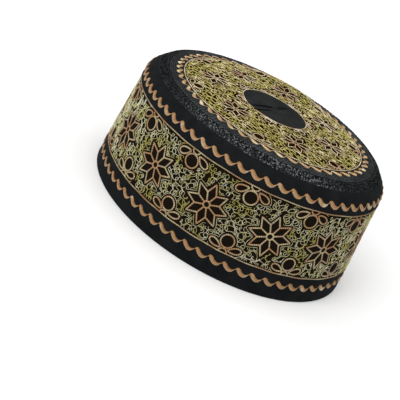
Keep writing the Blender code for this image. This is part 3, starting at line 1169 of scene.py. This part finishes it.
# %% Satin waves
WAVE = np.array([           # share of the pitch, height, half width
    (0.00, 3.15, 0.24), (0.12, 3.90, 1.00), (0.235, 3.35, 1.38), (0.38, 2.15, 1.35),
    (0.55, 1.30, 1.38), (0.72, 1.20, 1.12), (0.85, 1.85, 0.58), (0.945, 2.70, 0.26),
])
EDGING = np.array([         # the same, for the edging of the crown: fat outside and thin inside
    (0.00, 3.30, 0.28), (0.08, 2.10, 0.22), (0.17, 1.35, 0.28), (0.29, 1.20, 0.50),
    (0.43, 1.90, 0.95), (0.57, 2.85, 1.20), (0.72, 3.65, 1.40), (0.87, 3.95, 1.05),
])
WAVE_STEPS = 4
WAVE_ARCH = np.array([
    (-1.0, 0.0), (-0.92, 0.6), (-0.5, 0.93), (0.0, 1.0), (0.5, 0.93), (0.92, 0.6), (1.0, 0.0),
])
WAVE_HEIGHT = 0.55
EDGING_HEIGHT = 0.52
LOWER_WAVES, UPPER_WAVES, CROWN_WAVES = 63, 61, 50
LOWER_WAVE_FOOT = run_at_height(8.3)
UPPER_WAVE_FOOT = run_at_height(67.2)
CROWN_WAVE_FOOT = 68.3


def through(rows, steps):
    """A smooth line through the rows of a table that repeats (Catmull-Rom): each stretch between two rows
    is a cubic that leaves and meets them along the line between their neighbours. The first column grows
    by 1 each time the table repeats."""
    turn = np.array([1.0, 0.0, 0.0])
    before, after = np.vstack([rows[-1:] - turn, rows[:-1]]), np.vstack([rows[1:], rows[:1] + turn])
    beyond = np.vstack([rows[2:], rows[:2] + turn])
    t = (np.arange(steps) / steps)[:, None, None]
    line = rows + t * (after - before) / 2
    line = line + t ** 2 * (before - 2.5 * rows + 2 * after - beyond / 2)
    line = line + t ** 3 * (-before + 3 * rows - 3 * after + beyond) / 2
    return line.transpose(1, 0, 2).reshape(-1, 3)


def wave_row(table, units, rise, on_cloth, foot):
    """Patch of a closed row of waves, whose heights count from the foot. It rises with the square root of
    its half width."""
    line = through(table, WAVE_STEPS)
    share = (np.arange(units)[:, None] + line[:, 0]).ravel()[None] / units
    height, half = np.tile(line[:, 1:].T[:, None], units)
    return carry(*on_cloth(share, foot + height), 2 * half, rise * half ** 0.5, WAVE_ARCH, loop=True)


def on_ring(share, out):
    """Places and normals on the crown, at a share of the girth and a distance out from the middle."""
    return on_crown(*crown_ring(share, out))


waves = [wave_row(WAVE, LOWER_WAVES, WAVE_HEIGHT, on_side, LOWER_WAVE_FOOT),
         wave_row(WAVE, UPPER_WAVES, WAVE_HEIGHT, on_side, UPPER_WAVE_FOOT)]
edging = wave_row(EDGING, CROWN_WAVES, EDGING_HEIGHT, on_ring, CROWN_WAVE_FOOT)
make_piece("satin_waves", waves, "orange_satin")
make_piece("crown_edging", [edging], "pale_satin")

# %% [markdown]
# ## Embroidery of the crown
# The crown repeats the side on a smaller scale: seven stars in a ring, a half flower between every two of
# them that grows inwards from the outer line, and a small one that grows outwards from the bare middle.
# Here the ground is stitched far more closely, so it reads as a field of olive thread with dark motifs.

# %% Places on the crown
CROWN_STARS = (-130.3, -74.6, -16.0, 34.7, 83.9, 133.0, 178.0)
CROWN_STAR_RING = 45.5
CROWN_STAR = {"tip": 11.4, "notch": 6.5, "ring": 1.6}
OUTER_SCALE, INNER_SCALE = 0.8, 0.55
OUTER_FLOWER = scaled(FLOWERS["upper"], OUTER_SCALE)
INNER_FLOWER = scaled(FLOWERS["lower"], INNER_SCALE)
CROWN_LINE = 67.7
MIDDLE_LINE = 24.3
CROWN_ECHO = 1.5
CROWN_REACH = 20.0
OUTER_MIDDLE, INNER_MIDDLE = 3.0, 2.0
CROWN_OUTLINE, INNER_OUTLINE = 0.62, 0.45

crown_star_shares = share_at(np.array(CROWN_STARS))
after_star = np.mod(np.roll(crown_star_shares, -1) - crown_star_shares, 1.0)
crown_flower_shares = crown_star_shares + after_star / 2


def crown_spot(share, radius, outwards=1.0):
    """Middle of a motif on the crown, with its sideways and upward directions in plan: up points away from
    the middle of the crown, or towards it."""
    middle = np.stack(crown_ring(share, radius), axis=-1)
    up = outwards * middle / np.hypot(*middle.T)[:, None]
    return middle, np.stack([up[:, 1], -up[:, 0]], axis=-1), up


crown_motifs = [            # a motif, its spots and the width of its thread
    (motif(star_lines, star_gap, CROWN_STAR, 0.0, CROWN_REACH, CROWN_ECHO),
     crown_spot(crown_star_shares, CROWN_STAR_RING), CROWN_OUTLINE),
    (motif(flower_lines, flower_gap, OUTER_FLOWER, OUTER_MIDDLE, CROWN_REACH, CROWN_ECHO),
     crown_spot(crown_flower_shares, CROWN_LINE, outwards=-1.0), CROWN_OUTLINE),
    (motif(flower_lines, flower_gap, INNER_FLOWER, INNER_MIDDLE, CROWN_REACH, CROWN_ECHO),
     crown_spot(crown_flower_shares, MIDDLE_LINE), INNER_OUTLINE),
]


def lay_on_crown(line, middle, side, up):
    """A flat line laid on the crown at each spot: the plan position of its points."""
    plan = middle[:, None] + side[:, None] * line[:, :1] + up[:, None] * line[:, 1:]
    return plan[..., 0], plan[..., 1]


def crown_gap(x, y):
    """Distance from the nearest motif of the crown."""
    nearest = np.full(x.shape, FAR_AWAY)
    for (_, gap, _), spot, _ in crown_motifs:
        for middle, side, up in zip(*spot):
            a = (x - middle[0]) * side[0] + (y - middle[1]) * side[1]
            h = (x - middle[0]) * up[0] + (y - middle[1]) * up[1]
            nearest = np.minimum(nearest, gap(a, h))
    return nearest


print("crown stars", len(crown_star_shares), "and flowers", 2 * len(crown_flower_shares))

# %% Outlines of the crown
CROWN_LINE_STEPS = 540
CROWN_LINE_WIDTH, CROWN_RISE = 0.75, 0.5
MIDDLE_LINE_WIDTH, MIDDLE_LINE_RISE = 0.7, 0.45

share = np.arange(CROWN_LINE_STEPS)[None] / CROWN_LINE_STEPS
crown_stars = [carry(*on_ring(share, CROWN_LINE), CROWN_LINE_WIDTH, CROWN_RISE, loop=True),
               carry(*on_ring(share, MIDDLE_LINE), MIDDLE_LINE_WIDTH, MIDDLE_LINE_RISE, loop=True)]
ring = [circle((0.0, 0.0), CROWN_STAR["ring"], steps=18)]
crown_stars += outlines(ring, crown_motifs[0][1], lay_on_crown, on_crown, CROWN_OUTLINE, CROWN_RISE)
for (lines, _, _), spot, width in crown_motifs:
    crown_stars += outlines(lines, spot, lay_on_crown, on_crown, width, CROWN_RISE)
make_piece("crown_outlines", crown_stars, "gold_pale")

# %% [markdown]
# The ground of the crown is the same wandering thread, in straight rows from side to side. Its loops are
# drawn out towards front and back, so that the whole crown looks hatched one way.

# %% Ground of the crown
CROWN_CLEAR = 1.65
CROWN_LINE_ROOM = 0.5
CROWN_ECHO_ROOM = 0.4
CROWN_ROW = 2.4
CROWN_THREAD = 2.0
CROWN_ARC = 5.5
CROWN_TALL = 1.35
CROWN_STRAND = 0.36
CROWN_LIFT = 0.1


def free_on_crown(x, y, margin, clear):
    """Where thread may lie: between the crown's two lines, by that margin, and clear of every motif."""
    out = np.hypot(x / NARROWING, y)
    return (out > MIDDLE_LINE + margin) & (out < CROWN_LINE - margin) & (crown_gap(x, y) > clear)


def crown_ground():
    """Patch of the wandering thread of the crown, in straight rows from side to side."""
    length = 2 * NARROWING * CROWN_LINE
    rows = np.arange(-CROWN_LINE, CROWN_LINE, CROWN_ROW)
    along, off, lift = wander_rows(len(rows), length, CROWN_THREAD, CROWN_ARC, CROWN_LIFT, CROWN_TALL)
    x, y = along - length / 2, rows[:, None] + off
    return thread(*on_crown(x, y, lift), free_on_crown(x, y, CROWN_LINE_ROOM, CROWN_CLEAR), CROWN_STRAND)


crown_threads = [crown_ground()]
crown_threads += echo_threads(crown_motifs[:2], lay_on_crown, on_crown, free_on_crown,
                              CROWN_ECHO_ROOM, CROWN_ECHO - ECHO_NEAR)
make_piece("crown_fill", crown_threads, "olive_dense")

# %% [markdown]
# ## Rows of black stitching
# Between the wave edging and the braid, rows of black stitches go round the crown and hold it to its
# stiffening. Each stitch is a short bump of thread. A mask along the ring leaves the gaps between stitches.

# %% Stitch rows
STITCH = 2.6
STITCH_STEPS = 6
STITCH_WIDTH = 0.40
STITCH_RISE = 0.30
STITCH_SHIFT = 0.37
STITCH_ROWS = (73.8, 75.2, 76.6, 77.8)


def stitch_row(row, radius):
    """Patch of dashed thread round the crown. Each row starts a part of a stitch after the one before."""
    count = round(GIRTH * radius / STITCH)
    step = np.arange(count * STITCH_STEPS)[None]
    places, normals = on_ring(step / step.size + row * STITCH_SHIFT / count, radius)
    keep = step % STITCH_STEPS < STITCH_STEPS - 1
    return carry(places, normals, STITCH_WIDTH, STITCH_RISE, LOW_ARCH, loop=True, keep=keep)


stitches = [stitch_row(row, radius) for row, radius in enumerate(STITCH_ROWS)]
make_piece("black_stitches", stitches, "black_stitch")

# %% [markdown]
# ## Finish
# The number of pieces and of their triangles is printed.

# %% Sizes and finish
print("pieces:", len(triangles_in), "triangles:", sum(triangles_in.values()))
